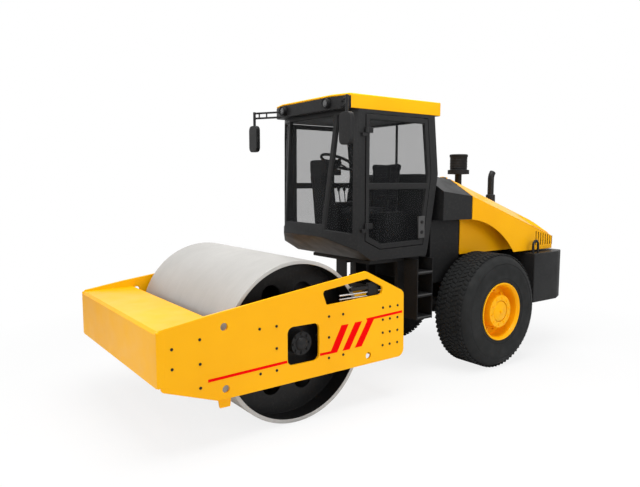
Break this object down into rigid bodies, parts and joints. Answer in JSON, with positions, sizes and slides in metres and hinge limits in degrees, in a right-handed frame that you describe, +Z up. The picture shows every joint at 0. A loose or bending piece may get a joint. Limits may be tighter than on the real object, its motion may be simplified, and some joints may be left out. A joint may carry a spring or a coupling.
{
  "type": "single-drum road roller",
  "caption": "Articulated road roller with a smooth steel drum in a yellow front frame, closed cab, sloping engine hood, rear counterweight and driven rubber tyres",
  "frame": {"origin": "on the ground under the middle of the overall length, on the centre plane", "axes": "+X forward towards the drum, +Y to the machine's left, +Z up"},
  "size_m": [6.17, 2.2992, 3.2898],
  "materials": {
    "drum_steel": "worn rolled steel",
    "yellow_paint": "semi-gloss yellow paint",
    "dark_paint": "satin dark grey paint",
    "black_paint": "satin black paint",
    "polished_steel": "polished",
    "engine_iron": "painted casting",
    "rubber": "matte",
    "tyre": "matte rubber",
    "glass": "clear tinted",
    "lamp_glass": "clear lens",
    "black_plastic": "grained",
    "seat_cover": "woven seat cover"
  },
  "bodies": {
    "rear": {"rear_frame": "dark_paint", "pivot_pins": "polished_steel", "rear_axle": "black_paint", "engine_block": "engine_iron", "tanks": "dark_paint", "counterweight": "dark_paint", "lifting_loops": "black_paint", "steps": "black_paint", "cab_floor": "dark_paint", "cab_frame": "dark_paint", "cab_panes": "glass", "roof": "yellow_paint", "roof_header": "dark_paint", "work_lamps": "lamp_glass", "seat_base": "black_plastic", "seat_cushion": "seat_cover", "seat_back": "seat_cover", "steering_column": "black_plastic", "steering_wheel": "black_plastic", "mirrors": "black_paint", "cowl": "dark_paint"},
    "yoke": {"yoke": "dark_paint"},
    "front": {"side_plate_left": "yellow_paint", "side_plate_right": "yellow_paint", "bumper": "yellow_paint", "rear_beam": "yellow_paint", "carrier_left": "black_paint", "carrier_right": "black_paint", "rubber_buffers": "rubber", "scrapers": "black_paint"},
    "drum": {"drum": "drum_steel"},
    "wheel_left": {"tyre_left": "tyre", "rim_left": "yellow_paint"},
    "wheel_right": {"tyre_right": "tyre", "rim_right": "yellow_paint"},
    "door_left": {"door_left": "dark_paint", "door_left_glass": "glass"},
    "door_right": {"door_right": "dark_paint", "door_right_glass": "glass"},
    "hood": {"hood": "yellow_paint", "precleaner": "black_plastic", "exhaust": "black_paint"},
    "barrel_left": {"barrel_left": "black_paint"},
    "barrel_right": {"barrel_right": "black_paint"},
    "rod_left": {"rod_left": "polished_steel"},
    "rod_right": {"rod_right": "polished_steel"}
  },
  "joints": [
    {"name": "articulation", "type": "hinge", "parent": "rear", "child": "yoke", "pos_m": [0.085, 0, 0.8], "axis": [0, 0, 1], "range_deg": [-33, 33]},
    {"name": "oscillation", "type": "hinge", "parent": "yoke", "child": "front", "pos_m": [0.315, 0, 0.8], "axis": [-1, 0, 0], "range_deg": [-12, 12]},
    {"name": "drum_spin", "type": "hinge", "parent": "front", "child": "drum", "pos_m": [1.635, 0, 0.8], "axis": [0, 1, 0], "continuous": true},
    {"name": "wheel_left_spin", "type": "hinge", "parent": "rear", "child": "wheel_left", "pos_m": [-1.385, 0.96, 0.725], "axis": [0, 1, 0], "continuous": true},
    {"name": "wheel_right_spin", "type": "hinge", "parent": "rear", "child": "wheel_right", "pos_m": [-1.385, -0.96, 0.725], "axis": [0, 1, 0], "continuous": true},
    {"name": "door_left_swing", "type": "hinge", "parent": "rear", "child": "door_left", "pos_m": [0.538, 0.759, 2.3], "axis": [0, 0, -1], "range_deg": [0, 85]},
    {"name": "door_right_swing", "type": "hinge", "parent": "rear", "child": "door_right", "pos_m": [0.538, -0.759, 2.3], "axis": [0, 0, 1], "range_deg": [0, 85]},
    {"name": "hood_tilt", "type": "hinge", "parent": "rear", "child": "hood", "pos_m": [-1.184, 0, 2.402], "axis": [0, 1, 0], "range_deg": [0, 50]},
    {"name": "cylinder_left_swing", "type": "hinge", "parent": "rear", "child": "barrel_left", "pos_m": [-0.715, 0.26, 0.7853], "axis": [0, 0, 1], "range_deg": [-4, 4]},
    {"name": "cylinder_right_swing", "type": "hinge", "parent": "rear", "child": "barrel_right", "pos_m": [-0.715, -0.26, 0.7853], "axis": [0, 0, 1], "range_deg": [-4, 4]},
    {"name": "rod_left_slide", "type": "slide", "parent": "barrel_left", "child": "rod_left", "axis": [1, 0, 0], "range_m": [-0.15, 0.15]},
    {"name": "rod_right_slide", "type": "slide", "parent": "barrel_right", "child": "rod_right", "axis": [1, 0, 0], "range_m": [-0.15, 0.15]}
  ],
  "couplings": [
    {"joint": "cylinder_left_swing", "follows": "articulation", "ratio": 0.1051},
    {"joint": "cylinder_right_swing", "follows": "articulation", "ratio": 0.1051},
    {"joint": "rod_left_slide", "follows": "articulation", "m_per_rad": -0.2459},
    {"joint": "rod_right_slide", "follows": "articulation", "m_per_rad": 0.2459}
  ]
}
